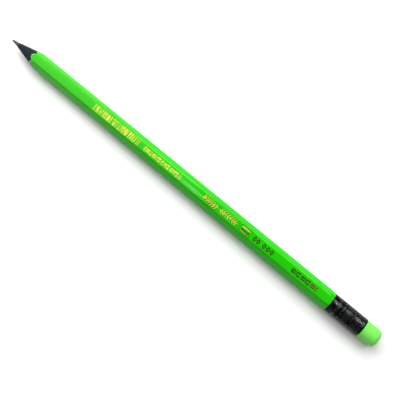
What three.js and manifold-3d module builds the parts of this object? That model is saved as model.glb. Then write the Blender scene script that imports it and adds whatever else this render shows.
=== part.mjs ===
// A sharpened hexagonal pencil with a ferrule and an eraser, lying on its side.
//
// Units are millimetres. Each piece is first built upright: the pencil's axis is +Z, the point is at
// z = 0, and a "station" is a distance from the point along that axis. One flat of the barrel faces
// +Y and another -Y. The finished group is then laid down along +X with that first flat on top, and
// its origin is the bottom centre of the bounding box.

import * as THREE from 'three';
import { mergeVertices } from 'three/addons/utils/BufferGeometryUtils.js';
import Module from 'manifold-3d';

// Overall size
const OVERALL_LENGTH = 190;
const BARREL_SIDES = 6;
const ACROSS_FLATS = 6.9;
const CORNER_RADIUS = 1.1;

// Layers on the wood, from the outside in, each a hair's breadth from the next
const LACQUER_THICKNESS = 0.08;
const PRIMER_THICKNESS = 0.07;
const GLUE_THICKNESS = 0.05;
const LAYER_CLEARANCE = 0.01;

// Sharpened end: the wooden cone's virtual apex lies ahead of the blunt point
const WOOD_CONE_ANGLE = THREE.MathUtils.degToRad(12.5);
const WOOD_APEX_AHEAD = 0.68;
const WOOD_FRONT_RADIUS = 1.17;

// Lead
const CORE_RADIUS = 1.15;
const CORE_CONE_ANGLE = THREE.MathUtils.degToRad(9);
const CORE_RADIUS_AT_WOOD = 1.08;

// Back end of the barrel: the corners taper down to meet the ferrule, and a round tenon enters it
const SHOULDER_START = 167.2;
const SHOULDER_RADIUS = 3.58;
const TENON_RADIUS = 3.3;
const TENON_END = 176.4;
const TENON_ROOT_DEPTH = 1;

// Ferrule: a sleeve with plain rims and a raised embossed band between them
const FERRULE_START = 169.6;
const FERRULE_LENGTH = 13.8;
const FERRULE_BORE_RADIUS = 3.36;
const FERRULE_RIM_RADIUS = 3.61;
const FERRULE_BAND_RADIUS = 3.66;
const FERRULE_RIM_WIDTH = 0.8;
const FERRULE_EDGE_RADIUS = 0.2;

// Eraser: a plug held in the ferrule, swelling a little where it comes out
const PLUG_START = 176.8;
const PLUG_RADIUS = 3.3;
const ERASER_RADIUS = 3.46;
const ERASER_SWELL_LENGTH = 0.35;
const ERASER_EDGE_RADIUS = 1.2;
const ERASER_CROWN = 0.12;

// Round stock that the turned cuts are taken from, wider than the barrel's corners by this much
const STOCK_MARGIN = 0.3;

// Facets
const ROUND_SEGMENTS = 64;
const CORNER_SEGMENTS = 6;
const EDGE_SEGMENTS = 6;

// Finishes
const GRAPHITE = { color: 0x4a4c50, roughness: 0.42, metalness: 0.3 };
const BLACK_DYED_WOOD = { color: 0x303a3c, roughness: 0.8, metalness: 0 };
const DRIED_GLUE = { color: 0x8d8a7c, roughness: 0.6, metalness: 0 };
const WHITE_PRIMER = { color: 0xeef2e6, roughness: 0.6, metalness: 0 };
const GREEN_LACQUER = { color: 0x2fd012, roughness: 0.2, metalness: 0 };
const BLACK_METAL = { color: 0x17191a, roughness: 0.3, metalness: 0.6 };
const GREEN_RUBBER = { color: 0x74d956, roughness: 0.75, metalness: 0 };

const FERRULE_END = FERRULE_START + FERRULE_LENGTH;
const HALF_SIDE_ANGLE = Math.PI / BARREL_SIDES;
const CORNER_CENTRE_DISTANCE = (ACROSS_FLATS / 2 - CORNER_RADIUS) / Math.cos(HALF_SIDE_ANGLE);
const CORNER_DISTANCE = CORNER_CENTRE_DISTANCE + CORNER_RADIUS;
const STOCK_RADIUS = CORNER_DISTANCE + STOCK_MARGIN;
const WOOD_INSET = LACQUER_THICKNESS + PRIMER_THICKNESS + 2 * LAYER_CLEARANCE;
const WOOD_FRONT = woodConeStation(WOOD_FRONT_RADIUS);

const wasm = await Module();
wasm.setup();

// Station at which the sharpened wooden cone has the given radius
function woodConeStation(radius) {
  return radius / Math.tan(WOOD_CONE_ANGLE) - WOOD_APEX_AHEAD;
}

// Turned shape whose outline is a list of [radius, station] pairs
function turned(outline) {
  const points = outline.map(([radius, station]) => new THREE.Vector2(radius, station));
  return new THREE.LatheGeometry(points, ROUND_SEGMENTS).rotateX(Math.PI / 2);
}

// Points of a circular arc in [radius, station] pairs, between two angles from the outward radius
function arc(centreRadius, centreStation, arcRadius, startAngle, endAngle) {
  const points = [];
  for (let step = 0; step <= EDGE_SEGMENTS; step += 1) {
    const angle = startAngle + (endAngle - startAngle) * (step / EDGE_SEGMENTS);
    points.push([centreRadius + arcRadius * Math.cos(angle), centreStation + arcRadius * Math.sin(angle)]);
  }
  return points;
}

// Closed geometry as a solid that can be cut and joined
function toSolid(geometry) {
  const bare = geometry.clone();
  bare.deleteAttribute('normal');
  bare.deleteAttribute('uv');
  const welded = mergeVertices(bare);
  const triangles = [];
  for (let start = 0; start < welded.index.count; start += 3) {
    const [a, b, c] = [0, 1, 2].map((corner) => welded.index.getX(start + corner));
    if (a !== b && b !== c && c !== a) {
      triangles.push(a, b, c);
    }
  }
  return new wasm.Manifold(new wasm.Mesh({
    numProp: 3,
    vertProperties: new Float32Array(welded.attributes.position.array),
    triVerts: new Uint32Array(triangles),
  }));
}

function toGeometry(solid) {
  const mesh = solid.getMesh();
  const geometry = new THREE.BufferGeometry();
  geometry.setAttribute('position', new THREE.BufferAttribute(mesh.vertProperties, 3));
  geometry.setIndex(new THREE.BufferAttribute(mesh.triVerts, 1));
  return geometry;
}

// Box given by its lowest and highest corner
function block(low, high) {
  const size = high.map((value, axis) => value - low[axis]);
  const centre = high.map((value, axis) => (value + low[axis]) / 2);
  return toSolid(new THREE.BoxGeometry(...size).translate(...centre));
}

// Hexagonal bar with rounded corners, its faces `inset` inside the lacquer's, ending at `end`
function hexagonalBar(inset, end) {
  const section = new THREE.Shape();
  for (let corner = 0; corner < BARREL_SIDES; corner += 1) {
    const angle = corner * 2 * HALF_SIDE_ANGLE;
    section.absarc(
      CORNER_CENTRE_DISTANCE * Math.cos(angle),
      CORNER_CENTRE_DISTANCE * Math.sin(angle),
      CORNER_RADIUS - inset,
      angle - HALF_SIDE_ANGLE,
      angle + HALF_SIDE_ANGLE,
      false,
    );
  }
  const bar = new THREE.ExtrudeGeometry(section, {
    depth: end,
    steps: 1,
    bevelEnabled: false,
    curveSegments: CORNER_SEGMENTS,
  });
  return toSolid(bar);
}

// Round bar, wider than the barrel, whose back end tapers down to the shoulder
function shoulderedBar(inset, end) {
  const taper = (CORNER_DISTANCE - SHOULDER_RADIUS) / (FERRULE_START - SHOULDER_START);
  const taperStart = SHOULDER_START - (STOCK_RADIUS + inset - CORNER_DISTANCE) / taper;
  return toSolid(turned([
    [0, 0],
    [STOCK_RADIUS, 0],
    [STOCK_RADIUS, taperStart],
    [SHOULDER_RADIUS - inset, FERRULE_START],
    [SHOULDER_RADIUS - inset, end],
    [0, end],
  ]));
}

// Barrel before sharpening, as a solid bar with its surface `inset` inside the lacquer's
function unsharpenedBarrel(inset, end) {
  return hexagonalBar(inset, end).intersect(shoulderedBar(inset, end));
}

// Solid with the sharpened cone cut on its front end
function sharpened(solid) {
  const kept = toSolid(turned([
    [0, WOOD_FRONT],
    [WOOD_FRONT_RADIUS, WOOD_FRONT],
    [STOCK_RADIUS, woodConeStation(STOCK_RADIUS)],
    [STOCK_RADIUS, OVERALL_LENGTH],
    [0, OVERALL_LENGTH],
  ]));
  return solid.intersect(kept);
}

// One thin layer of paint round the barrel, from its outer to its inner inset
function paintCoat(outerInset, innerInset) {
  const outside = unsharpenedBarrel(outerInset, FERRULE_START);
  const inside = unsharpenedBarrel(innerInset, OVERALL_LENGTH);
  return toGeometry(sharpened(outside.subtract(inside)));
}

// Both slats and their glue as one solid, with the tenon turned on its end and the lead's hole
function boredWood() {
  const tenonRoot = FERRULE_START - TENON_ROOT_DEPTH;
  const tenon = toSolid(turned([
    [0, tenonRoot],
    [TENON_RADIUS, tenonRoot],
    [TENON_RADIUS, TENON_END],
    [0, TENON_END],
  ]));
  const holeRadius = CORE_RADIUS + LAYER_CLEARANCE;
  const hole = toSolid(turned([
    [0, 0],
    [holeRadius, 0],
    [holeRadius, OVERALL_LENGTH],
    [0, OVERALL_LENGTH],
  ]));
  return sharpened(unsharpenedBarrel(WOOD_INSET, FERRULE_START)).add(tenon).subtract(hole);
}

// The part of the wood on one side of the glue plane: side is 1 for the upper slat, -1 for the lower
function casingHalf(wood, side) {
  const near = side * (GLUE_THICKNESS / 2 + LAYER_CLEARANCE);
  const far = side * ACROSS_FLATS;
  const halfSpace = block(
    [-ACROSS_FLATS, Math.min(near, far), 0],
    [ACROSS_FLATS, Math.max(near, far), OVERALL_LENGTH],
  );
  return toGeometry(wood.intersect(halfSpace));
}

// The glue between the slats on one side of the lead: side is 1 for +X, -1 for -X
function glueFilm(wood, side) {
  const strip = block(
    [Math.min(0, side * ACROSS_FLATS), -GLUE_THICKNESS / 2, 0],
    [Math.max(0, side * ACROSS_FLATS), GLUE_THICKNESS / 2, OVERALL_LENGTH],
  );
  return toGeometry(wood.intersect(strip));
}

// Lead rod, from its blunt point to the end of the tenon. The point is a sphere tangent to the cone.
function graphiteCore() {
  const slope = Math.tan(CORE_CONE_ANGLE);
  const sphereToCone = Math.cos(CORE_CONE_ANGLE) - slope * (1 - Math.sin(CORE_CONE_ANGLE));
  const pointRadius = (CORE_RADIUS_AT_WOOD - WOOD_FRONT * slope) / sphereToCone;
  return turned([
    ...arc(0, pointRadius, pointRadius, -Math.PI / 2, -CORE_CONE_ANGLE),
    [CORE_RADIUS, WOOD_FRONT + (CORE_RADIUS - CORE_RADIUS_AT_WOOD) / slope],
    [CORE_RADIUS, TENON_END],
    [0, TENON_END],
  ]);
}

// Thin metal sleeve with rounded edges, plain rims and a raised band
function ferrule() {
  const edge = FERRULE_EDGE_RADIUS;
  const rimCentre = FERRULE_RIM_RADIUS - edge;
  const step = FERRULE_BAND_RADIUS - FERRULE_RIM_RADIUS;
  return turned([
    [FERRULE_BORE_RADIUS, FERRULE_START],
    ...arc(rimCentre, FERRULE_START + edge, edge, -Math.PI / 2, 0),
    [FERRULE_RIM_RADIUS, FERRULE_START + FERRULE_RIM_WIDTH],
    [FERRULE_BAND_RADIUS, FERRULE_START + FERRULE_RIM_WIDTH + step],
    [FERRULE_BAND_RADIUS, FERRULE_END - FERRULE_RIM_WIDTH - step],
    [FERRULE_RIM_RADIUS, FERRULE_END - FERRULE_RIM_WIDTH],
    ...arc(rimCentre, FERRULE_END - edge, edge, 0, Math.PI / 2),
    [FERRULE_BORE_RADIUS, FERRULE_END],
    [FERRULE_BORE_RADIUS, FERRULE_START],
  ]);
}

// Rubber plug with a rounded, slightly crowned free end
function eraserPlug() {
  const edge = ERASER_EDGE_RADIUS;
  const sideEnd = OVERALL_LENGTH - ERASER_CROWN - edge;
  return turned([
    [0, PLUG_START],
    [PLUG_RADIUS, PLUG_START],
    [PLUG_RADIUS, FERRULE_END],
    [ERASER_RADIUS, FERRULE_END + ERASER_SWELL_LENGTH],
    ...arc(ERASER_RADIUS - edge, sideEnd, edge, 0, Math.PI / 2),
    [0, OVERALL_LENGTH],
  ]);
}

function piece(name, geometry, finish) {
  const mesh = new THREE.Mesh(geometry, new THREE.MeshStandardMaterial(finish));
  mesh.name = name;
  return mesh;
}

const wood = boredWood();
const primerOuter = LACQUER_THICKNESS + LAYER_CLEARANCE;
const primerInner = primerOuter + PRIMER_THICKNESS;

const pencil = new THREE.Group();
pencil.add(
  piece('graphite_core', graphiteCore(), GRAPHITE),
  piece('casing_upper_half', casingHalf(wood, 1), BLACK_DYED_WOOD),
  piece('casing_lower_half', casingHalf(wood, -1), BLACK_DYED_WOOD),
  piece('glue_film_left', glueFilm(wood, 1), DRIED_GLUE),
  piece('glue_film_right', glueFilm(wood, -1), DRIED_GLUE),
  piece('primer_coat', paintCoat(primerOuter, primerInner), WHITE_PRIMER),
  piece('lacquer_coat', paintCoat(0, LACQUER_THICKNESS), GREEN_LACQUER),
  piece('ferrule', ferrule(), BLACK_METAL),
  piece('eraser_plug', eraserPlug(), GREEN_RUBBER),
);

// Lay the pencil down: its length along +X, its first flat up, its lowest line at z = 0
const layDown = new THREE.Matrix4().makeBasis(
  new THREE.Vector3(0, 1, 0),
  new THREE.Vector3(0, 0, 1),
  new THREE.Vector3(1, 0, 0),
);
pencil.quaternion.setFromRotationMatrix(layDown);
pencil.position.set(-OVERALL_LENGTH / 2, 0, FERRULE_BAND_RADIUS);

export default pencil;
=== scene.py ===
import math

import bmesh
import bpy
import numpy as np
from mathutils import Matrix, Vector


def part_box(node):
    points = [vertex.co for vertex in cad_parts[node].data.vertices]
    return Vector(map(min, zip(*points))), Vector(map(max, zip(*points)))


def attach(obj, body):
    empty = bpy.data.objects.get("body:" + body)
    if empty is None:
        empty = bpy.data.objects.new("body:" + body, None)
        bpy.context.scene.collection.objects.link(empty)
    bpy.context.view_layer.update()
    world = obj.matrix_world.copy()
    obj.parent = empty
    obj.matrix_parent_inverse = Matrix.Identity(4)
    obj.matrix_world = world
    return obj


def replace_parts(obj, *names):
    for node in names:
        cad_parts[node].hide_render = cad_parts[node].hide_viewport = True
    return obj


# A sharpened neon green pencil lying on a pale table. Its visible surfaces are finer copies of the
# CAD nodes, made in metres about the pencil's own axis. "Station" is the distance from the writing
# point along +X. "Angle" is measured about the axis from straight up, and grows towards +Y. "Inset"
# is a depth below the lacquer's surface.

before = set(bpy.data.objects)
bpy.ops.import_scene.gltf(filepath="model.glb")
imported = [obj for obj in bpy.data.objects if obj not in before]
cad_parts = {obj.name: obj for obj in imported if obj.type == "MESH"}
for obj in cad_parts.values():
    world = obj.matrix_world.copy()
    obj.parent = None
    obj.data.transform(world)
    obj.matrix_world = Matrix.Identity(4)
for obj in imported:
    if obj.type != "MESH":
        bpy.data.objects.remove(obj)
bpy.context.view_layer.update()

MM = 0.001
BARREL_SIDES = 6
SIDE_ANGLE = 2 * math.pi / BARREL_SIDES

# --- Sizes taken from the frame ---------------------------------------------------------------------

core_low, core_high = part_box("graphite_core")
wood_low, wood_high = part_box("casing_upper_half")
_, primer_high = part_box("primer_coat")
coat_low, coat_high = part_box("lacquer_coat")
ferrule_low, ferrule_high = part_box("ferrule")
eraser_low, eraser_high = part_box("eraser_plug")

POINT_X = core_low.x
AXIS_Z = (coat_low.z + coat_high.z) / 2
TOP_FLAT_Z = coat_high.z
APOTHEM = TOP_FLAT_Z - AXIS_Z
CORNER_DISTANCE = coat_high.y
FERRULE_START = ferrule_low.x - POINT_X
FERRULE_END = ferrule_high.x - POINT_X
FERRULE_LENGTH = FERRULE_END - FERRULE_START
BAND_RADIUS = ferrule_high.y
PENCIL_LENGTH = eraser_high.x - POINT_X
ERASER_RADIUS = eraser_high.y
PLUG_START = eraser_low.x - POINT_X
TENON_END = wood_high.x - POINT_X
WOOD_FRONT = wood_low.x - POINT_X
CORE_RADIUS = core_high.y
GLUE_GAP = wood_low.z - AXIS_Z
PRIMER_INSET = CORNER_DISTANCE - primer_high.y
WOOD_INSET = CORNER_DISTANCE - wood_high.y

# --- Sizes of the finer shapes ----------------------------------------------------------------------

WOOD_CONE_ANGLE = math.radians(12.5)
CONE_SLOPE = math.tan(WOOD_CONE_ANGLE)
WOOD_FRONT_RADIUS = 1.17 * MM
FLAT_CROWN = 0.05 * MM

# The grain's noise is made over this length, which is more than the sharpened cone's.
GRAIN_SPAN = 14 * MM

LAYER_GAP = 0.01 * MM
COAT_LIP = 0.02 * MM
CORNER_REACH = math.radians(7)

SHOULDER_START = 167.2 * MM
BEFORE_SHOULDER = SHOULDER_START - 2 * MM
SHOULDER_RADIUS = 3.58 * MM
TENON_RADIUS = 3.3 * MM
HOLE_RADIUS = CORE_RADIUS + LAYER_GAP
CORE_CONE_ANGLE = math.radians(9)
CORE_RADIUS_AT_WOOD = 1.08 * MM

FERRULE_BORE = 3.36 * MM
FERRULE_EDGE = 0.1 * MM
EMBOSSING_DEPTH = 0.035 * MM
FERRULE_GROUND = BAND_RADIUS - EMBOSSING_DEPTH

# The hidden flat ends of the lead and the plug have a second ring at this share of their radius.
END_RING = 0.9

PLUG_RADIUS = 3.3 * MM
ERASER_EDGE = 1.2 * MM
ERASER_CROWN = 0.12 * MM
ERASER_SWELL = 0.35 * MM

# The ferrule's lace is one cell repeated round it. Places are metres behind the ferrule's front edge,
# or that and the distance across from the middle of the cell.
LACE_CELLS = 7
FIRST_CELL_ANGLE = math.radians(15)
CELL_WIDTH = 2 * math.pi * BAND_RADIUS / LACE_CELLS
ORNAMENT_HEIGHT = 0.8
PLAIN_RIM = 0.35 * MM
RIM_FADE = 0.2 * MM
NET_PLACE = 6.85 * MM
ROSETTE_PLACE = 10.6 * MM
FESTOON_PLACE = 4.35 * MM
FESTOON_DROP = 0.5 * MM
FESTOON_HALF_WIDTH = 0.12 * MM
STEM_START = 5.4 * MM
STEM_END = 12.2 * MM
STEM_SWAY = 0.12 * MM
STEM_HALF_WIDTH = 0.11 * MM
VOLUTE_PLACE = (2.75 * MM, 0.88 * MM)
FRONT_LEAF_PLACE = 1.0 * MM
BACK_LEAF_PLACE = (12.9 * MM, 0.75 * MM)
BEAD_RADIUS = 0.3 * MM
BEAD_PLACES = MM * np.array([
    (1.75, -0.35), (2.75, 0.88), (2.75, -0.88), (4.85, 0.95), (4.85, -0.95),
    (9.05, 0.95), (9.05, -0.95), (10.6, 0.0), (12.15, 0.0),
])

# --- Mesh helpers -----------------------------------------------------------------------------------


def smooth_noise(u, v, cells_u, cells_v, seed):
    """Noise from -1 to 1 over u and v, which both run from 0 to 1; it wraps round in v."""
    lattice = np.random.default_rng(seed).uniform(-1, 1, (cells_u + 2, cells_v))
    u, v = np.broadcast_arrays(u * cells_u, v * cells_v)
    row = np.clip(np.floor(u).astype(int), 0, cells_u)
    column = np.floor(v).astype(int)
    fade_u = (u - row) ** 2 * (3 - 2 * (u - row))
    fade_v = (v - column) ** 2 * (3 - 2 * (v - column))
    this, following = column % cells_v, (column + 1) % cells_v
    near = lattice[row, this] * (1 - fade_v) + lattice[row, following] * fade_v
    far = lattice[row + 1, this] * (1 - fade_v) + lattice[row + 1, following] * fade_v
    return near * (1 - fade_u) + far * fade_u


def about_axis(station, radius, angle):
    """Points at stations, radii and angles, which broadcast to (rows, columns)."""
    station, radius, angle = np.broadcast_arrays(station, radius, angle)
    across = radius * np.sin(angle)
    height = AXIS_Z + radius * np.cos(angle)
    return np.stack([POINT_X + station, across, height], -1).reshape(-1, 3)


def full_turn(columns):
    """Angles of columns spaced evenly round the axis."""
    return np.arange(columns) * (2 * math.pi / columns)


def stack_rows(rows, columns):
    """Joins pairs of stations and radii, each one row or more, into a grid of each."""
    row_shape = np.empty((1, columns))
    grids = [np.broadcast_arrays(station, radius, row_shape)[:2] for station, radius in rows]
    return np.vstack([grid[0] for grid in grids]), np.vstack([grid[1] for grid in grids])


def grid_quads(rows, columns, rows_closed=False, columns_closed=True):
    """Faces of a grid of points numbered row by row."""
    row, column = np.meshgrid(
        np.arange(rows if rows_closed else rows - 1),
        np.arange(columns if columns_closed else columns - 1),
        indexing="ij",
    )
    next_row, next_column = (row + 1) % rows, (column + 1) % columns
    corners = [
        row * columns + column,
        next_row * columns + column,
        next_row * columns + next_column,
        row * columns + next_column,
    ]
    return np.stack(corners, -1).reshape(-1, 4).tolist()


def add_piece(name, points, faces, material, crease=35):
    """A mesh object that rides on the pencil, shaded smooth except at edges sharper than crease."""
    mesh = bpy.data.meshes.new(name)
    mesh.from_pydata(np.asarray(points).tolist(), [], faces)
    shape = bmesh.new()
    shape.from_mesh(mesh)
    bmesh.ops.recalc_face_normals(shape, faces=shape.faces)
    shape.to_mesh(mesh)
    shape.free()
    mesh.shade_smooth()
    mesh.set_sharp_from_angle(angle=math.radians(crease))
    mesh.materials.append(material)
    piece = bpy.data.objects.new(name, mesh)
    bpy.context.scene.collection.objects.link(piece)
    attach(piece, "root")
    return piece


def mark_points(piece, name, values):
    """Stores a number from 0 to 1 on each point, for the piece's material to read."""
    attribute = piece.data.attributes.new(name, "FLOAT", "POINT")
    attribute.data.foreach_set("value", np.asarray(values, np.float32).ravel())


def turned_solid(name, station, radius, columns, material):
    """A solid turned about the axis. Its first and last rows are closed by a point on the axis."""
    rows = len(station)
    points = about_axis(station[:, None], radius, full_turn(columns)[None, :])
    poles = about_axis(station[[0, -1]], 0.0, 0.0)
    faces = grid_quads(rows, columns)
    first, last = rows * columns, rows * columns + 1
    for column in range(columns):
        following = (column + 1) % columns
        faces.append([first, column, following])
        faces.append([last, (rows - 1) * columns + following, (rows - 1) * columns + column])
    return add_piece(name, np.vstack([points, poles]), faces, material)


def barrel_radius(angle, inset):
    """Distance from the axis to the hexagonal barrel.

    Paint builds up in the middle of each flat, so a flat is slightly crowned.
    """
    from_flat = np.abs((angle + SIDE_ANGLE / 2) % SIDE_ANGLE - SIDE_ANGLE / 2)
    corner_share = (APOTHEM / math.cos(SIDE_ANGLE / 2)) / (CORNER_DISTANCE + FLAT_CROWN)
    sharpness = math.log(2) / math.log(corner_share)
    both_flats = np.cos(from_flat) ** sharpness + np.cos(SIDE_ANGLE - from_flat) ** sharpness
    crown_drop = FLAT_CROWN * (1 - np.cos(BARREL_SIDES * from_flat)) / 2
    return (APOTHEM - inset) * both_flats ** (-1 / sharpness) - crown_drop


def cone_station(radius):
    """Station at which the sharpened wooden cone has this radius."""
    return WOOD_FRONT + (radius - WOOD_FRONT_RADIUS) / CONE_SLOPE


def cone_radius(station):
    return WOOD_FRONT_RADIUS + (station - WOOD_FRONT) * CONE_SLOPE


def shoulder_limit(station, inset):
    """Radius of the taper that takes the corners down to the ferrule."""
    taper = (CORNER_DISTANCE - SHOULDER_RADIUS) / (FERRULE_START - SHOULDER_START)
    return SHOULDER_RADIUS - inset + taper * (FERRULE_START - station)


def soft_minimum(a, b, softness):
    """The smaller of a and b, blended where they are within softness of each other."""
    blend = np.clip(0.5 + (b - a) / (2 * softness), 0, 1)
    return b * (1 - blend) + a * blend - softness * blend * (1 - blend)


# --- The pencil's pieces ----------------------------------------------------------------------------


def make_lead(material):
    """The graphite, with a small sphere for its blunted tip."""
    slope = math.tan(CORE_CONE_ANGLE)
    sphere_to_cone = math.cos(CORE_CONE_ANGLE) - slope * (1 - math.sin(CORE_CONE_ANGLE))
    point_radius = (CORE_RADIUS_AT_WOOD - WOOD_FRONT * slope) / sphere_to_cone
    first_lift, last_lift = math.radians(-84), math.radians(-10)
    lift = np.linspace(first_lift, last_lift, 12)
    tip_station = point_radius * (1 + np.sin(lift))
    tip_radius = point_radius * np.cos(lift)
    cone_end = WOOD_FRONT + (CORE_RADIUS - CORE_RADIUS_AT_WOOD) / slope
    cone_stations = np.linspace(tip_station[-1], cone_end, 70)[1:]
    cone_radii = CORE_RADIUS - (cone_end - cone_stations) * slope
    station = np.concatenate([tip_station, cone_stations, [TENON_END, TENON_END]])
    radius = np.concatenate([tip_radius, cone_radii, [CORE_RADIUS, CORE_RADIUS * END_RING]])

    columns = 96
    turn = np.arange(columns)[None, :] / columns
    along = (station / WOOD_FRONT)[:, None]
    scrapes = smooth_noise(along, turn, 26, 9, 11) + 0.6 * smooth_noise(along, turn, 60, 5, 12)
    facets = smooth_noise(along, turn, 2, 14, 13)
    # Shares of the bare length: where the relief ends, and the stretch over which it fades.
    relief_end, relief_fade = 1.05, 0.2
    exposed = np.clip((relief_end - station / WOOD_FRONT) / relief_fade, 0, 1)[:, None]
    relief = (0.006 * MM * scrapes + 0.014 * MM * facets) * exposed
    return turned_solid("lead", station, radius[:, None] + relief, columns, material)


def make_slat(name, side, material):
    """Half of the wooden casing: side is 1 for the upper slat and -1 for the lower."""
    columns, cone_rows = 241, 120
    turn = np.linspace(-1, 1, columns)[None, :]
    radius = barrel_radius(turn * math.pi / 2, WOOD_INSET)
    angle = turn * (math.pi / 2 - np.arcsin(GLUE_GAP / radius))
    outer = barrel_radius(angle, WOOD_INSET)

    share = np.linspace(0, 1, cone_rows)[:, None]
    front_radius = cone_radius(WOOD_FRONT)
    cone_radii = front_radius + (outer - front_radius) * share
    cone_stations = cone_station(cone_radii)
    around = (turn + 1) / 4 + (0 if side > 0 else 0.5)
    along = (cone_stations - WOOD_FRONT) / GRAIN_SPAN
    grain = smooth_noise(along, around, 3, 150, 21) + 0.5 * smooth_noise(along, around, 7, 330, 22)
    shavings = smooth_noise(along, around, 42, 16, 23)
    steps = smooth_noise(along, around, 2, 26, 24)
    fade = np.clip(share * 12, 0, 1) * np.clip((1 - share) * 12, 0, 1)
    relief = (0.012 * MM * grain + 0.006 * MM * shavings + 0.012 * MM * steps) * fade
    ragged_front = 0.09 * MM * smooth_noise(0.5, around, 1, 46, 25) * np.clip(1 - share * 30, 0, 1)

    at_ferrule = np.minimum(outer, shoulder_limit(FERRULE_START, WOOD_INSET))
    station, radius = stack_rows([
        (WOOD_FRONT, HOLE_RADIUS),
        (cone_stations + ragged_front, cone_radii + relief),
        (BEFORE_SHOULDER, outer),
        (FERRULE_START, at_ferrule),
        (FERRULE_START, TENON_RADIUS),
        (TENON_END, TENON_RADIUS),
        (TENON_END, HOLE_RADIUS),
    ], columns)
    edge_angle = turn * (math.pi / 2 - np.arcsin(GLUE_GAP / radius))
    points = about_axis(station, radius, edge_angle + (0 if side > 0 else math.pi))
    faces = grid_quads(len(station), columns, rows_closed=True, columns_closed=False)
    faces.append([row * columns for row in range(len(station))])
    faces.append([row * columns + columns - 1 for row in reversed(range(len(station)))])
    return add_piece(name, points, faces, material)


def make_coat(name, outer_inset, inner_inset, material):
    """A thin layer of paint round the barrel, from the sharpener's cut to the ferrule."""
    columns = 432
    angle = full_turn(columns)[None, :]
    outer = barrel_radius(angle, outer_inset)
    inner = barrel_radius(angle, inner_inset)
    chips = 0.05 * MM * smooth_noise(0.5, angle / (2 * math.pi), 1, 90, 31)
    front = cone_station(outer) + chips
    inner_front = cone_station(inner) + chips

    cut_share = np.array([0.0, 0.4, 0.8])[:, None]
    barrel_share = np.array([0.0, 0.0008, 0.004, 0.02, 0.1, 0.3, 0.6, 1.0])[:, None]
    barrel_start = front + COAT_LIP
    barrel_end = BEFORE_SHOULDER - 1 * MM
    end = FERRULE_START - LAYER_GAP
    taper_stations = np.linspace(BEFORE_SHOULDER, end - COAT_LIP, 18)[:, None]
    taper_radii = soft_minimum(outer, shoulder_limit(taper_stations, outer_inset), 0.05 * MM)
    inner_end = np.minimum(inner, shoulder_limit(end, inner_inset))
    station, radius = stack_rows([
        (inner_front + (front - inner_front) * cut_share, inner + (outer - inner) * cut_share),
        (barrel_start + (barrel_end - barrel_start) * barrel_share, outer),
        (taper_stations, taper_radii),
        (end, taper_radii[-1:] - COAT_LIP),
        (end, inner_end),
        (BEFORE_SHOULDER, inner),
    ], columns)
    points = about_axis(station, radius, angle)
    coat = add_piece(name, points, grid_quads(len(station), columns, rows_closed=True), material)
    from_corner = SIDE_ANGLE / 2 - np.abs((angle + SIDE_ANGLE / 2) % SIDE_ANGLE - SIDE_ANGLE / 2)
    corner = np.clip(1 - from_corner / CORNER_REACH, 0, 1)
    mark_points(coat, "corner", np.broadcast_to(corner, radius.shape))
    return coat


def ridge(distance, half_width):
    """Rounded ridge: 1 on the line, 0 at half_width from it."""
    return np.clip(1 - (distance / half_width) ** 2, 0, 1)


def volute(along, across, hand):
    """A curl of almost two turns about (0, 0). Hand is 1 or -1, the way it turns."""
    pitch = 0.52 * MM
    radius = np.hypot(along, across)
    turns = radius / pitch - np.arctan2(hand * across, along) / (2 * math.pi)
    line = ridge((turns - np.round(turns)) * pitch, 0.13 * MM)
    return line * (radius < 0.98 * MM)


def leaf_relief(along, across, centre_along, centre_across, tilt, length, width):
    """A pointed leaf outline with a rib, turned by tilt from the pencil's length."""
    du, dv = along - centre_along, across - centre_across
    lengthwise = (du * math.cos(tilt) + dv * math.sin(tilt)) / (length / 2)
    sideways = (-du * math.sin(tilt) + dv * math.cos(tilt)) / (width / 2)
    from_edge = np.abs(sideways) - np.clip(1 - lengthwise ** 2, 0, 1)
    outline = ridge(from_edge, 0.45) * (np.abs(lengthwise) < 1)
    rib = ridge(sideways, 0.22) * (np.abs(lengthwise) < 0.9)
    return np.maximum(outline, rib)


def stud_net(along, across):
    """A square patch of small studs centred on (0, 0)."""
    half_size = 1.25 * MM
    pitch_along, pitch_across = 0.6 * MM, 0.56 * MM
    inside = (np.abs(along) < half_size) & (np.abs(across) < half_size)
    wave_along = 0.5 + 0.5 * np.cos(2 * math.pi * along / pitch_along)
    wave_across = 0.5 + 0.5 * np.cos(2 * math.pi * across / pitch_across)
    return (wave_along * wave_across) ** 0.4 * inside


def rosette(along, across):
    """A ring round a six-petalled flower centred on (0, 0)."""
    radius = np.hypot(along, across)
    angle = np.arctan2(across, along)
    petals = ridge(radius - 0.56 * MM, 0.24 * MM) * np.clip(1.6 * np.cos(3 * angle) ** 2, 0, 1)
    ring = ridge(radius - 1.0 * MM, 0.17 * MM)
    return np.maximum(ring, petals)


def festoon(along, across):
    """A line that hangs in one arc across the cell."""
    arc = FESTOON_PLACE + FESTOON_DROP * np.cos(math.pi * across / CELL_WIDTH)
    return ridge(along - arc, FESTOON_HALF_WIDTH)


def stems(along, across):
    """Two winding stems, one on each side of the border between cells."""
    from_border = CELL_WIDTH / 2 - np.abs(across)
    bend = STEM_SWAY * (1 + np.sin(along / (0.9 * MM)))
    return ridge(from_border - bend, STEM_HALF_WIDTH) * (along > STEM_START) * (along < STEM_END)


def leaf_trio(along, across):
    """One leaf at the front of the cell and two at the back."""
    place, spread = BACK_LEAF_PLACE
    front = leaf_relief(along, across, FRONT_LEAF_PLACE, 0.0, math.radians(-38), 1.9 * MM, 0.8 * MM)
    left = leaf_relief(along, across, place, spread, math.radians(-30), 1.7 * MM, 0.75 * MM)
    right = leaf_relief(along, across, place, -spread, math.radians(30), 1.7 * MM, 0.75 * MM)
    return np.maximum(front, np.maximum(left, right))


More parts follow.
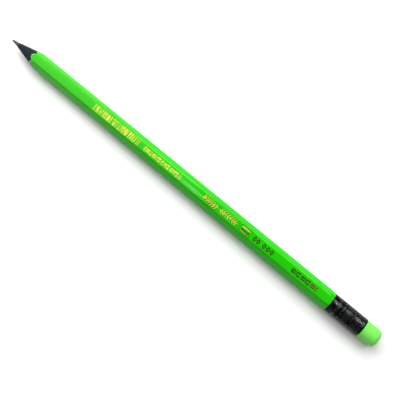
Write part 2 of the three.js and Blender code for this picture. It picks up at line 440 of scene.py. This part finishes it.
def beads(along, across):
    """Round beads between the larger ornaments."""
    height = np.zeros_like(along * across)
    for bead_along, bead_across in BEAD_PLACES:
        distance = np.hypot(along - bead_along, across - bead_across)
        height = np.maximum(height, ridge(distance, BEAD_RADIUS))
    return height


def embossing(along, angle):
    """Height of the lace from 0 to 1. Beads stand highest."""
    place = (angle - FIRST_CELL_ANGLE) * LACE_CELLS / (2 * math.pi)
    across = (place - np.round(place)) * CELL_WIDTH
    volute_along, volute_across = VOLUTE_PLACE
    height = beads(along, across)
    for ornament in (
        stud_net(along - NET_PLACE, across),
        rosette(along - ROSETTE_PLACE, across),
        festoon(along, across),
        stems(along, across),
        leaf_trio(along, across),
        volute(along - volute_along, across - volute_across, 1),
        volute(along - volute_along, across + volute_across, -1),
    ):
        height = np.maximum(height, ORNAMENT_HEIGHT * ornament)
    front_fade = np.clip((along - PLAIN_RIM) / RIM_FADE, 0, 1)
    back_fade = np.clip((FERRULE_LENGTH - PLAIN_RIM - along) / RIM_FADE, 0, 1)
    return height * front_fade * back_fade


def make_ferrule(material):
    columns = 392
    angle = full_turn(columns)[None, :]
    band = np.linspace(FERRULE_EDGE, FERRULE_LENGTH - FERRULE_EDGE, 230)[:, None]
    height = embossing(band, angle)
    dents = -0.012 * MM * np.abs(smooth_noise(band / FERRULE_LENGTH, angle / (2 * math.pi), 9, 12, 41))
    edge_turn = np.radians([0, 30, 60])[:, None]
    edge_reach = FERRULE_EDGE * (1 - np.cos(edge_turn))
    edge_radii = FERRULE_GROUND - FERRULE_EDGE * (1 - np.sin(edge_turn))
    station, radius = stack_rows([
        (0.0, FERRULE_BORE),
        (edge_reach, edge_radii),
        (band, FERRULE_GROUND + EMBOSSING_DEPTH * height + dents),
        (FERRULE_LENGTH - edge_reach[::-1], edge_radii[::-1]),
        (FERRULE_LENGTH, FERRULE_BORE),
    ], columns)
    points = about_axis(FERRULE_START + station, radius, angle)
    faces = grid_quads(len(station), columns, rows_closed=True)
    ferrule = add_piece("embossed_ferrule", points, faces, material, crease=60)
    relief = np.zeros_like(radius)
    rows_before_band = 1 + len(edge_turn)
    relief[rows_before_band:-rows_before_band] = height
    mark_points(ferrule, "relief", relief)
    return ferrule


def make_eraser(material):
    side_end = PENCIL_LENGTH - ERASER_CROWN - ERASER_EDGE
    turn = np.radians(np.linspace(0, 90, 14))
    crown_share = np.linspace(0.9, 0.05, 8)
    crown_radius = (ERASER_RADIUS - ERASER_EDGE) * crown_share
    side = np.linspace(FERRULE_END + ERASER_SWELL, side_end, 22)[:-1]
    swell_station = FERRULE_END + ERASER_SWELL * 0.35
    swell_radius = ERASER_RADIUS - (ERASER_RADIUS - PLUG_RADIUS) * 0.3
    station = np.concatenate([
        [PLUG_START, PLUG_START, FERRULE_END, swell_station],
        side,
        side_end + ERASER_EDGE * np.sin(turn),
        PENCIL_LENGTH - ERASER_CROWN * crown_share ** 2,
    ])
    radius = np.concatenate([
        [PLUG_RADIUS * END_RING, PLUG_RADIUS, PLUG_RADIUS, swell_radius],
        np.full_like(side, ERASER_RADIUS),
        ERASER_RADIUS - ERASER_EDGE + ERASER_EDGE * np.cos(turn),
        crown_radius,
    ])
    columns = 144
    around = np.arange(columns)[None, :] / columns
    along = ((station - PLUG_START) / (PENCIL_LENGTH - PLUG_START))[:, None]
    lumps = smooth_noise(along, around, 10, 12, 51) + 0.5 * smooth_noise(along, around, 24, 30, 52)
    exposed = np.clip((station - FERRULE_END - ERASER_SWELL) / (1 * MM), 0, 1)[:, None]
    relief = 0.012 * MM * lumps * exposed * (radius / ERASER_RADIUS)[:, None]
    return turned_solid("eraser", station, radius[:, None] + relief, columns, material)


# --- Foil and ink marks on the top flat -------------------------------------------------------------
# Each mark is a thin closed plate pressed into the lacquer. Places are (station, across) in metres.

PRINT_SINK = 0.02 * MM
FOIL_RISE = 0.012 * MM
LEAF_RISE = 0.016 * MM
INK_RISE = 0.01 * MM
SHADE_RISE = 0.005 * MM

BARS = (51.4 * MM, 76.9 * MM)
BAR_MODULE = 0.27 * MM
BAR_HALF_HEIGHT = 1.33 * MM

ORNAMENTS = (78.7 * MM, 98.4 * MM)
ORNAMENT_COUNT = 13
ORNAMENT_HALF_HEIGHT = 1.08 * MM
ORNAMENT_LINE = 0.24 * MM
DOT_RADIUS = 0.18 * MM
PETAL_GAP = 0.12 * MM
PETAL_SLIMNESS = 0.55

# Each sprig runs from its root to its tip, so the two point away from each other.
SPRIGS = ((117.0 * MM, 109.4 * MM), (117.6 * MM, 126.4 * MM))
STEM_WIDTH = 0.2 * MM
LEAF_LENGTH = 1.5 * MM
LEAF_WIDTH = 0.42 * MM
LEAF_PITCH = 1.1 * MM
LEAF_SPREAD = math.radians(56)
SHADE_SHIFT = (0.24 * MM, -0.14 * MM)

BADGE = (127.75 * MM, 132.75 * MM)
BADGE_HALF_HEIGHT = 1.4 * MM
BADGE_MARGIN = 0.35 * MM
BADGE_CORNER_RADIUS = 0.6 * MM
BADGE_FRAME_LINE = 0.2 * MM
BADGE_BAND_HALF_HEIGHT = 0.3 * MM
BADGE_GOLD_LINE = 0.25 * MM
BADGE_LOZENGE_PITCH = 1.35 * MM
BADGE_LOZENGE_ACROSS = -0.25 * MM
BADGE_LOZENGE_HALF_LENGTH = 0.65 * MM
BADGE_LOZENGE_HALF_HEIGHT = 0.6 * MM
BADGE_LOZENGE_LINE = 0.28 * MM

LOZENGE_ROWS = ((133.9 * MM, 137.2 * MM, 2), (138.2 * MM, 143.6 * MM, 3))
LOZENGE_HALF_HEIGHT = 1.25 * MM
LOZENGE_LINE = 0.4 * MM

INK_ORNAMENTS = (151.6 * MM, 163.0 * MM)
INK_ORNAMENT_COUNT = 8
INK_ORNAMENT_HALF_HEIGHT = 1.15 * MM
INK_ORNAMENT_LINE = 0.34 * MM
RED_INK_START = 159.6 * MM

# The rows of ornaments and lozenges stand a little off the middle of the flat.
ROW_ACROSS = -0.1 * MM

# How far each kind of lozenge reaches from its centre along a row, as a share of the row's pitch.
FRAMED_REACH = 0.47
STACKED_REACH = 0.4
OPEN_REACH = 0.46

# Where the two stacked lozenges stand and how tall they are, as shares of the row's half height.
STACKED_PLACE = 0.52
STACKED_HALF_HEIGHT = 0.46


def on_flat(outline, height):
    """Points at a height above the crowned top flat."""
    outline = np.asarray(outline, float)
    angle = np.arctan2(outline[:, 1], APOTHEM)
    level = AXIS_Z + barrel_radius(angle, 0.0) * np.cos(angle) + height
    return np.column_stack([POINT_X + outline[:, 0], outline[:, 1], level])


def plate(outline, rise):
    """A filled patch, as points and faces."""
    count = len(outline)
    points = np.vstack([on_flat(outline, rise), on_flat(outline, -PRINT_SINK)])
    faces = [list(range(count)), list(reversed(range(count, 2 * count)))]
    for corner in range(count):
        following = (corner + 1) % count
        faces.append([corner, following, count + following, count + corner])
    return points, faces


def stroke(line, width, rise):
    """A ribbon along a line of points."""
    line = np.asarray(line, float)
    heading = np.gradient(line, axis=0)
    heading = heading / np.linalg.norm(heading, axis=1)[:, None]
    side = np.column_stack([-heading[:, 1], heading[:, 0]]) * (width / 2)
    left, right = line + side, line - side
    points = np.stack([
        on_flat(left, rise),
        on_flat(right, rise),
        on_flat(right, -PRINT_SINK),
        on_flat(left, -PRINT_SINK),
    ], 1).reshape(-1, 3)
    last = 4 * (len(line) - 1)
    ends = [[0, 1, 2, 3], [last + 3, last + 2, last + 1, last]]
    return points, grid_quads(len(line), 4) + ends


def frame_stroke(outline, width, rise):
    """A ribbon just inside a convex outline, with sharp corners."""
    outline = np.asarray(outline, float)
    inward = []
    for corner in range(len(outline)):
        before = outline[corner] - outline[corner - 1]
        after = outline[(corner + 1) % len(outline)] - outline[corner]
        before, after = before / np.linalg.norm(before), after / np.linalg.norm(after)
        normal = np.array([-before[1] - after[1], before[0] + after[0]])
        normal /= np.linalg.norm(normal)
        inward.append(outline[corner] + normal * width / np.dot(normal, [-after[1], after[0]]))
    points = np.stack([
        on_flat(outline, rise),
        on_flat(inward, rise),
        on_flat(inward, -PRINT_SINK),
        on_flat(outline, -PRINT_SINK),
    ], 1).reshape(-1, 3)
    return points, grid_quads(len(outline), 4, rows_closed=True)


def regular_outline(centre, half_length, half_height, corners):
    """Corners spaced evenly round an ellipse, counter-clockwise."""
    angle = full_turn(corners)
    along = centre[0] + half_length * np.cos(angle)
    across = centre[1] + half_height * np.sin(angle)
    return np.column_stack([along, across])


def leaf_outline(base, direction, length, width):
    """A pointed leaf that grows from base in a direction, as an angle."""
    share = np.linspace(0, 1, 9)
    swell = width / 2 * np.sin(math.pi * share) ** 0.8
    upper = np.column_stack([share * length, swell])
    lower = np.column_stack([share * length, -swell])[-2:0:-1]
    leaf = np.vstack([upper, lower])[::-1]
    forward = np.array([math.cos(direction), math.sin(direction)])
    sideways = np.array([-math.sin(direction), math.cos(direction)])
    return leaf @ np.array([forward, sideways]) + np.asarray(base)


def add_marks(name, parts, material):
    """Joins the parts of one kind of mark into one piece."""
    points, faces, used = [], [], 0
    for part_points, part_faces in parts:
        points.append(part_points)
        faces += [[used + corner for corner in face] for face in part_faces]
        used += len(part_points)
    return add_piece(name, np.vstack(points), faces, material)


def bar_marks(start, end):
    """Upright bars of one to four modules with gaps of one to three, in an arbitrary order."""
    rng = np.random.default_rng(7)
    parts, station = [], start
    while station < end - 4 * BAR_MODULE:
        width = BAR_MODULE * rng.choice([1, 2, 3, 4], p=[0.5, 0.3, 0.15, 0.05])
        line = [(station + width / 2, BAR_HALF_HEIGHT * share) for share in np.linspace(-1, 1, 9)]
        parts.append(stroke(line, width, FOIL_RISE))
        station += width + BAR_MODULE * rng.choice([1, 2, 3], p=[0.45, 0.4, 0.15])
    return parts


def flower(centre, reach, rise):
    """Four petals in a diagonal cross."""
    parts = []
    for petal in range(4):
        direction = math.pi / 4 + petal * math.pi / 2
        base = (centre[0] + PETAL_GAP * math.cos(direction), centre[1] + PETAL_GAP * math.sin(direction))
        parts.append(plate(leaf_outline(base, direction, reach, PETAL_SLIMNESS * reach), rise))
    return parts


def lozenge_frame(centre, half_length, half_height, width, rise):
    """A lozenge outline with a dot in the middle."""
    outline = regular_outline(centre, half_length, half_height, 4)
    dot = regular_outline(centre, DOT_RADIUS, DOT_RADIUS, 10)
    return [frame_stroke(outline, width, rise), plate(dot, rise)]


def stacked_lozenges(centre, half_length, half_height, rise):
    """Two filled lozenges, one on each side of the centre."""
    parts = []
    for side in (-1, 1):
        middle = (centre[0], centre[1] + side * half_height * STACKED_PLACE)
        outline = regular_outline(middle, half_length, half_height * STACKED_HALF_HEIGHT, 4)
        parts.append(plate(outline, rise))
    return parts


def ornament_row(start, end, count, half_height, width, rise):
    """A row of small ornaments, three kinds in turn."""
    pitch = (end - start) / count
    parts = []
    for place in range(count):
        centre = (start + (place + 0.5) * pitch, ROW_ACROSS)
        if place % 3 == 0:
            parts += lozenge_frame(centre, FRAMED_REACH * pitch, half_height, width, rise)
        elif place % 3 == 1:
            parts += flower(centre, half_height, rise)
        else:
            parts += stacked_lozenges(centre, STACKED_REACH * pitch, half_height, rise)
    return parts


def lozenge_row(start, end, count):
    """A short row of open lozenges in ink."""
    pitch = (end - start) / count
    parts = []
    for place in range(count):
        centre = (start + (place + 0.5) * pitch, ROW_ACROSS)
        outline = regular_outline(centre, OPEN_REACH * pitch, LOZENGE_HALF_HEIGHT, 4)
        parts.append(frame_stroke(outline, LOZENGE_LINE, INK_RISE))
    return parts


def sprig(root, tip):
    """A straight stem with leaves in pairs and one at its tip; returns gold and dark parts."""
    hand = 1 if tip > root else -1
    forward = 0.0 if hand > 0 else math.pi
    last_base = tip - hand * LEAF_LENGTH
    placed_leaves = [(last_base, forward)]
    for pair in range(int(abs(last_base - root) / LEAF_PITCH) + 1):
        base = last_base - hand * pair * LEAF_PITCH
        placed_leaves += [(base, forward + LEAF_SPREAD), (base, forward - LEAF_SPREAD)]

    stem = [(station, 0.0) for station in np.linspace(root, tip, 3)]
    gold, dark = [stroke(stem, STEM_WIDTH, FOIL_RISE)], []
    for base, direction in placed_leaves:
        leaf = leaf_outline((base, 0.0), direction, LEAF_LENGTH, LEAF_WIDTH)
        gold.append(plate(leaf, LEAF_RISE))
        dark.append(plate(leaf + SHADE_SHIFT, SHADE_RISE))
    return gold, dark


def rounded_outline(half_length, half_height, radius, centre):
    """A rectangle with rounded corners, counter-clockwise."""
    outline = []
    for quarter, (along, across) in enumerate([(1, 1), (-1, 1), (-1, -1), (1, -1)]):
        corner = (centre + along * (half_length - radius), across * (half_height - radius))
        for step in range(6):
            angle = quarter * math.pi / 2 + step * math.pi / 10
            outline.append((corner[0] + radius * math.cos(angle), corner[1] + radius * math.sin(angle)))
    return outline


def badge_parts(start, end):
    """A dark frame round a gold band, dark lozenges and a gold line; returns gold and dark parts."""
    middle, half_length = (start + end) / 2, (end - start) / 2
    frame_outline = rounded_outline(half_length, BADGE_HALF_HEIGHT, BADGE_CORNER_RADIUS, middle)
    band_centre = (middle, BADGE_HALF_HEIGHT - BADGE_MARGIN - BADGE_BAND_HALF_HEIGHT)
    band = regular_outline(band_centre, half_length - BADGE_MARGIN, BADGE_BAND_HALF_HEIGHT, 20)
    line_reach, line_across = half_length - 2 * BADGE_MARGIN, BADGE_MARGIN - BADGE_HALF_HEIGHT
    line = [(middle - line_reach, line_across), (middle + line_reach, line_across)]
    gold = [plate(band, FOIL_RISE), stroke(line, BADGE_GOLD_LINE, FOIL_RISE)]
    dark = [frame_stroke(frame_outline, BADGE_FRAME_LINE, INK_RISE)]
    for place in (-1, 0, 1):
        centre = (middle + place * BADGE_LOZENGE_PITCH, BADGE_LOZENGE_ACROSS)
        lozenge = regular_outline(centre, BADGE_LOZENGE_HALF_LENGTH, BADGE_LOZENGE_HALF_HEIGHT, 4)
        dark.append(frame_stroke(lozenge, BADGE_LOZENGE_LINE, INK_RISE))
    return gold, dark


# --- Materials --------------------------------------------------------------------------------------


def new_material(name):
    """A material with only a Principled shader; returns the material, its nodes and the shader."""
    material = bpy.data.materials.new(name)
    material.use_nodes = True
    tree = material.node_tree
    return material, tree, tree.nodes["Principled BSDF"]


def feed(tree, socket, value):
    """Sets a socket to a number, vector or colour, or links it to another node's output."""
    if isinstance(value, bpy.types.NodeSocket):
        tree.links.new(value, socket)
    elif socket.type == "RGBA":
        socket.default_value = (*value, 1.0)
    else:
        socket.default_value = value


def set_inputs(tree, node, **inputs):
    """Feeds inputs by name. An underscore stands for a space."""
    for name, value in inputs.items():
        feed(tree, node.inputs[name.replace("_", " ")], value)


def add_node(tree, kind, settings=None, **inputs):
    node = tree.nodes.new(kind)
    for name, value in (settings or {}).items():
        setattr(node, name, value)
    set_inputs(tree, node, **inputs)
    return node


def noise(tree, scale, detail=3.0, stretch=(1, 1, 1), roughness=0.55):
    """Noise in the pencil's own space. Scale is in cycles a metre, and stretch multiplies each axis."""
    place = add_node(tree, "ShaderNodeTexCoord")
    mapping = add_node(tree, "ShaderNodeMapping", Vector=place.outputs["Object"], Scale=stretch)
    texture = add_node(
        tree, "ShaderNodeTexNoise",
        Vector=mapping.outputs["Vector"], Scale=scale, Detail=detail, Roughness=roughness,
    )
    return texture.outputs["Fac"]


def ramp(tree, value, stops):
    """Maps a value to colours. Stops are (place, colour) pairs."""
    node = add_node(tree, "ShaderNodeValToRGB", Fac=value)
    elements = node.color_ramp.elements
    while len(elements) < len(stops):
        elements.new(0.5)
    for element, (place, colour) in zip(elements, stops):
        element.position = place
        element.color = (*colour, 1.0)
    return node.outputs["Color"]


def number_range(tree, value, low_in, high_in, low_out, high_out):
    """Maps low_in and high_in to low_out and high_out, with no change beyond them."""
    node = add_node(
        tree, "ShaderNodeMapRange",
        Value=value, From_Min=low_in, From_Max=high_in, To_Min=low_out, To_Max=high_out,
    )
    return node.outputs["Result"]


def multiply(tree, first, second):
    node = add_node(tree, "ShaderNodeMath", {"operation": "MULTIPLY"})
    feed(tree, node.inputs[0], first)
    feed(tree, node.inputs[1], second)
    return node.outputs["Value"]


def mix_colour(tree, share, first, second):
    """The first colour where share is 0, and the second where it is 1."""
    node = add_node(tree, "ShaderNodeMix", {"data_type": "RGBA"})
    feed(tree, node.inputs[0], share)
    feed(tree, node.inputs[6], first)
    feed(tree, node.inputs[7], second)
    return node.outputs[2]


def bump(tree, height, depth, strength=1.0, under=None):
    """A bump normal whose full height is depth metres, on top of another one."""
    node = add_node(tree, "ShaderNodeBump", Height=height, Distance=depth, Strength=strength)
    if under is not None:
        feed(tree, node.inputs["Normal"], under)
    return node.outputs["Normal"]


def point_value(tree, name):
    """The number that mark_points stored."""
    return add_node(tree, "ShaderNodeAttribute", {"attribute_name": name}).outputs["Fac"]


def fade_along(tree, start, end, low_out, high_out):
    """A value that changes between two stations along the pencil."""
    place = add_node(tree, "ShaderNodeTexCoord")
    along = add_node(tree, "ShaderNodeSeparateXYZ", Vector=place.outputs["Object"]).outputs["X"]
    return number_range(tree, along, POINT_X + start, POINT_X + end, low_out, high_out)


def lacquer_material():
    """Neon green with painted light: a little yellower and lighter towards the point, where the light fell
    brighter, and lighter on the corners, partly rubbed paint and partly a painted highlight.
    """
    material, tree, shader = new_material("neon_green_lacquer")
    tone = ramp(tree, noise(tree, 55, 2.0, (0.4, 1, 1)), (
        (0.3, (0.007, 0.44, 0.001)),
        (0.7, (0.016, 0.49, 0.002)),
    ))
    # Painted light: the colour turns yellower and lighter towards the point, standing in for brighter light
    # there.
    tone = mix_colour(tree, fade_along(tree, 20 * MM, 130 * MM, 0.6, 0.0), tone, (0.045, 0.48, 0.002))
    # The corners get a lighter colour broken up by noise: partly rubbed paint, partly a painted highlight
    # along the edges. They are also made partly metallic.
    corner = point_value(tree, "corner")
    rubbed = multiply(tree, corner, noise(tree, 900, 3.0, (0.25, 1, 1)))
    corner_rubbing_and_highlight = number_range(tree, rubbed, 0.2, 0.6, 0.0, 0.65)
    peel = bump(tree, noise(tree, 620, 2.0, (0.5, 1, 1)), 0.004 * MM, 0.6)
    set_inputs(
        tree, shader,
        Base_Color=mix_colour(tree, corner_rubbing_and_highlight, tone, (0.10, 0.66, 0.02)),
        Metallic=number_range(tree, corner, 0.0, 0.7, 0.0, 0.5),
        Roughness=number_range(tree, noise(tree, 420, 3.0), 0.3, 0.7, 0.09, 0.15),
        IOR=1.2,
        Normal=bump(tree, noise(tree, 5200, 2.0), 0.0008 * MM, 0.5, peel),
    )
    return material


def primer_material():
    """White paint that takes up green from the lacquer over it."""
    material, tree, shader = new_material("white_primer")
    colour = ramp(tree, noise(tree, 2600, 3.0), (
        (0.3, (0.20, 0.34, 0.15)),
        (0.65, (0.42, 0.52, 0.35)),
    ))
    grain = bump(tree, noise(tree, 4000), 0.006 * MM)
    set_inputs(tree, shader, Base_Color=colour, Roughness=0.6, Normal=grain)
    return material


def dyed_wood_material():
    """Nearly black softwood, its fibres drawn out along the pencil."""
    material, tree, shader = new_material("black_dyed_wood")
    fibres = noise(tree, 2600, 4.0, (0.045, 1, 1), 0.6)
    rings = noise(tree, 700, 2.0, (0.03, 1, 1))
    pores = noise(tree, 6500, 3.0, (0.03, 1, 1), 0.7)
    colour = ramp(tree, fibres, (
        (0.28, (0.003, 0.007, 0.009)),
        (0.52, (0.009, 0.019, 0.023)),
        (0.74, (0.028, 0.046, 0.053)),
    ))
    dark_rings = number_range(tree, rings, 0.42, 0.62, 0.0, 0.55)
    colour = mix_colour(tree, dark_rings, colour, (0.018, 0.024, 0.028))
    open_pores = number_range(tree, pores, 0.64, 0.74, 0.0, 0.8)
    grain = bump(tree, fibres, 0.02 * MM, 0.8)
    set_inputs(
        tree, shader,
        Base_Color=mix_colour(tree, open_pores, colour, (0.006, 0.008, 0.009)),
        Roughness=number_range(tree, fibres, 0.3, 0.7, 0.75, 0.55),
        Specular_IOR_Level=0.08,
        Normal=bump(tree, pores, 0.012 * MM, 0.7, grain),
    )
    return material


def glue_material():
    material, tree, shader = new_material("dried_glue")
    colour = ramp(tree, noise(tree, 1800, 2.0), (
        (0.3, (0.030, 0.034, 0.034)),
        (0.7, (0.075, 0.078, 0.070)),
    ))
    set_inputs(tree, shader, Base_Color=colour, Roughness=0.4)
    return material


def graphite_material():
    """Grey with fine rings from the sharpener and darker crumbs."""
    material, tree, shader = new_material("graphite")
    turning = noise(tree, 1500, 3.0, (4.0, 0.35, 0.35))
    crumbs = noise(tree, 5200, 4.0, (1, 1, 1), 0.65)
    colour = ramp(tree, turning, (
        (0.3, (0.026, 0.027, 0.027)),
        (0.6, (0.054, 0.056, 0.056)),
        (0.8, (0.105, 0.110, 0.108)),
    ))
    crumb_share = number_range(tree, crumbs, 0.6, 0.75, 0.0, 0.7)
    marks = bump(tree, turning, 0.008 * MM, 0.4)
    set_inputs(
        tree, shader,
        Base_Color=mix_colour(tree, crumb_share, colour, (0.035, 0.037, 0.038)),
        Metallic=0.35,
        Roughness=number_range(tree, crumbs, 0.3, 0.7, 0.34, 0.52),
        Normal=bump(tree, crumbs, 0.008 * MM, 0.6, marks),
    )
    return material


def ferrule_material():
    """Black coating, rubbed down to grey on the embossing and nearly bare on the beads."""
    material, tree, shader = new_material("black_coated_ferrule")
    smudges = noise(tree, 800, 3.0)
    coating = ramp(tree, smudges, (
        (0.3, (0.0008, 0.001, 0.001)),
        (0.7, (0.002, 0.0024, 0.0024)),
    ))
    relief = point_value(tree, "relief")
    wear = number_range(tree, noise(tree, 1900, 3.0), 0.35, 0.65, 0.35, 1.0)
    rubbed = multiply(tree, number_range(tree, relief, 0.4, 0.78, 0.0, 1.0), wear)
    bare = number_range(tree, relief, 0.82, 0.94, 0.0, 0.9)
    colour = mix_colour(tree, rubbed, coating, (0.155, 0.168, 0.172))
    set_inputs(
        tree, shader,
        Base_Color=mix_colour(tree, bare, colour, (0.42, 0.44, 0.43)),
        Metallic=number_range(tree, rubbed, 0.0, 0.5, 0.0, 1.0),
        Roughness=number_range(tree, smudges, 0.3, 0.7, 0.17, 0.24),
        IOR=1.17,
        Normal=bump(tree, noise(tree, 3600, 2.0), 0.004 * MM, 0.6),
    )
    return material


def rubber_material():
    """Pale green rubber, mottled and with a light bloom."""
    material, tree, shader = new_material("pale_green_rubber")
    mottling = noise(tree, 260, 3.0)
    colour = ramp(tree, mottling, (
        (0.3, (0.125, 0.65, 0.050)),
        (0.7, (0.165, 0.71, 0.075)),
    ))
    bloom = number_range(tree, noise(tree, 2200, 4.0, (1, 1, 1), 0.7), 0.5, 0.75, 0.0, 0.3)
    skin = bump(tree, noise(tree, 1400, 3.0), 0.02 * MM, 0.6)
    set_inputs(
        tree, shader,
        Base_Color=mix_colour(tree, bloom, colour, (0.30, 0.77, 0.20)),
        Roughness=number_range(tree, mottling, 0.3, 0.7, 0.62, 0.78),
        Sheen_Weight=0.12,
        Normal=bump(tree, noise(tree, 6000, 3.0), 0.006 * MM, 0.6, skin),
    )
    return material


def foil_material():
    """Gold foil, worn so that green shows through it in places."""
    material, tree, shader = new_material("gold_foil")
    wear = noise(tree, 1500, 4.0, (1, 0.5, 1), 0.7)
    colour = ramp(tree, wear, (
        (0.36, (0.14, 0.24, 0.008)),
        (0.48, (0.38, 0.36, 0.018)),
        (0.64, (0.66, 0.61, 0.07)),
    ))
    set_inputs(
        tree, shader,
        Base_Color=colour,
        Metallic=0.55,
        Roughness=number_range(tree, wear, 0.3, 0.7, 0.5, 0.3),
        Normal=bump(tree, noise(tree, 4200, 2.0), 0.003 * MM, 0.7),
    )
    return material


def ink_material():
    """Dark ink that turns reddish brown in the last marks before the ferrule."""
    material, tree, shader = new_material("dark_ink")
    cover = noise(tree, 1700, 4.0, (1, 1, 1), 0.7)
    colour = ramp(tree, cover, (
        (0.34, (0.030, 0.090, 0.004)),
        (0.46, (0.024, 0.022, 0.006)),
        (0.70, (0.014, 0.010, 0.006)),
    ))
    red = fade_along(tree, RED_INK_START, INK_ORNAMENTS[1], 0.0, 0.7)
    colour = mix_colour(tree, red, colour, (0.13, 0.040, 0.006))
    set_inputs(tree, shader, Base_Color=colour, Roughness=0.45, IOR=1.15)
    return material


def floor_material():
    material, tree, shader = new_material("pale_table")
    colour = ramp(tree, noise(tree, 3, 2.0), (
        (0.3, (0.93, 0.93, 0.925)),
        (0.7, (0.95, 0.95, 0.945)),
    ))
    set_inputs(tree, shader, Base_Color=colour, Roughness=0.9, Specular_IOR_Level=0.2)
    return material


# --- Build the pencil -------------------------------------------------------------------------------


def build_marks():
    """The marks in gold foil, one piece for each kind, and all the dark ones in one piece."""
    foil, ink = foil_material(), ink_material()
    add_marks("gold_bars", bar_marks(*BARS), foil)
    gold_row = ornament_row(*ORNAMENTS, ORNAMENT_COUNT, ORNAMENT_HALF_HEIGHT, ORNAMENT_LINE, FOIL_RISE)
    add_marks("gold_ornament_row", gold_row, foil)
    badge_gold, dark = badge_parts(*BADGE)
    add_marks("gold_badge", badge_gold, foil)
    sprig_gold = []
    for root, tip in SPRIGS:
        gold, shade = sprig(root, tip)
        sprig_gold += gold
        dark += shade
    add_marks("gold_sprigs", sprig_gold, foil)
    for start, end, count in LOZENGE_ROWS:
        dark += lozenge_row(start, end, count)
    dark += ornament_row(
        *INK_ORNAMENTS, INK_ORNAMENT_COUNT, INK_ORNAMENT_HALF_HEIGHT, INK_ORNAMENT_LINE, INK_RISE,
    )
    add_marks("ink_marks", dark, ink)


def build_pencil():
    wood = dyed_wood_material()
    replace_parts(make_lead(graphite_material()), "graphite_core")
    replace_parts(make_slat("upper_slat", 1, wood), "casing_upper_half")
    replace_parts(make_slat("lower_slat", -1, wood), "casing_lower_half")
    primer = make_coat("primer", PRIMER_INSET, WOOD_INSET - LAYER_GAP, primer_material())
    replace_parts(primer, "primer_coat")
    lacquer = make_coat("lacquer", 0.0, PRIMER_INSET - LAYER_GAP, lacquer_material())
    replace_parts(lacquer, "lacquer_coat")
    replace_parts(make_ferrule(ferrule_material()), "ferrule")
    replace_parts(make_eraser(rubber_material()), "eraser_plug")
    glue = glue_material()
    for name in ("glue_film_left", "glue_film_right"):
        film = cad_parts[name]
        film.data.materials.clear()
        film.data.materials.append(glue)
    build_marks()


# --- Table, light and camera ------------------------------------------------------------------------

TABLE_HALF_SIZE = 2.5
LENS = 42.3
VIEW_DISTANCE = 181.8 * MM
VIEW_CENTRE_STATION = 108.8 * MM
VIEW_OFFSET = 1.67 * MM
VIEW_TILT = math.radians(11.5)
VIEW_ROLL = math.radians(4.3)
PENCIL_SLOPE = math.radians(39.62)


def build_table():
    corners = [(-1, -1), (1, -1), (1, 1), (-1, 1)]
    mesh = bpy.data.meshes.new("table_top")
    points = [(x * TABLE_HALF_SIZE, y * TABLE_HALF_SIZE, 0) for x, y in corners]
    mesh.from_pydata(points, [], [(0, 1, 2, 3)])
    mesh.materials.append(floor_material())
    table = bpy.data.objects.new("table_top", mesh)
    bpy.context.scene.collection.objects.link(table)


def add_softbox(name, towards, distance, width, height, radiance):
    """A rectangular light that faces the pencil, its width along X.

    Its radiance is the brightness that a mirror would show, whatever its size.
    """
    light = bpy.data.lights.new(name, "AREA")
    light.shape = "RECTANGLE"
    light.size, light.size_y = width, height
    light.energy = radiance * math.pi * width * height
    direction = Vector(towards).normalized()
    sideways = Vector((1, 0, 0)) - direction * direction.x
    sideways.normalize()
    upwards = direction.cross(sideways)
    turned = Matrix((sideways, upwards, direction)).transposed().to_4x4()
    lamp = bpy.data.objects.new(name, light)
    lamp.matrix_world = Matrix.Translation(Vector((0, 0, AXIS_Z)) + direction * distance) @ turned
    bpy.context.scene.collection.objects.link(lamp)


def build_light():
    world = bpy.data.worlds.new("soft_surroundings")
    world.use_nodes = True
    background = world.node_tree.nodes["Background"]
    background.inputs["Color"].default_value = (1.0, 1.0, 1.0, 1.0)
    background.inputs["Strength"].default_value = 0.19
    bpy.context.scene.world = world
    add_softbox("window_light", (0.0, 0.62, 0.78), distance=1.0, width=0.9, height=0.6, radiance=4.4)
    add_softbox("soft_side_light", (-0.64, 0.36, 0.68), distance=0.9, width=0.9, height=0.9, radiance=3.5)
    add_softbox("fill_light", (-0.7, -0.5, 0.5), distance=0.5, width=0.3, height=0.3, radiance=0.4)
    add_softbox("overhead_light", (-0.222, 0.04, 0.97), distance=1.0, width=0.08, height=0.05, radiance=38.0)
    bpy.context.scene.view_settings.view_transform = "Standard"


def build_camera():
    """Looks down at the top flat. The far end is the writing point, and the eraser end is nearer."""
    camera = bpy.data.cameras.new("camera")
    camera.lens = LENS
    camera.clip_start = 0.01
    turned = Matrix.Rotation(VIEW_ROLL, 4, "X") @ Matrix.Rotation(VIEW_TILT, 4, "Y")
    centre = Vector((POINT_X + VIEW_CENTRE_STATION, 0, AXIS_Z))
    away = turned @ Vector((0, -VIEW_OFFSET, VIEW_DISTANCE))
    facing = turned @ Matrix.Rotation(PENCIL_SLOPE, 4, "Z")
    viewer = bpy.data.objects.new("camera", camera)
    viewer.matrix_world = Matrix.Translation(centre + away) @ facing
    bpy.context.scene.collection.objects.link(viewer)
    bpy.context.scene.camera = viewer


build_camera()
build_pencil()
build_table()
build_light()
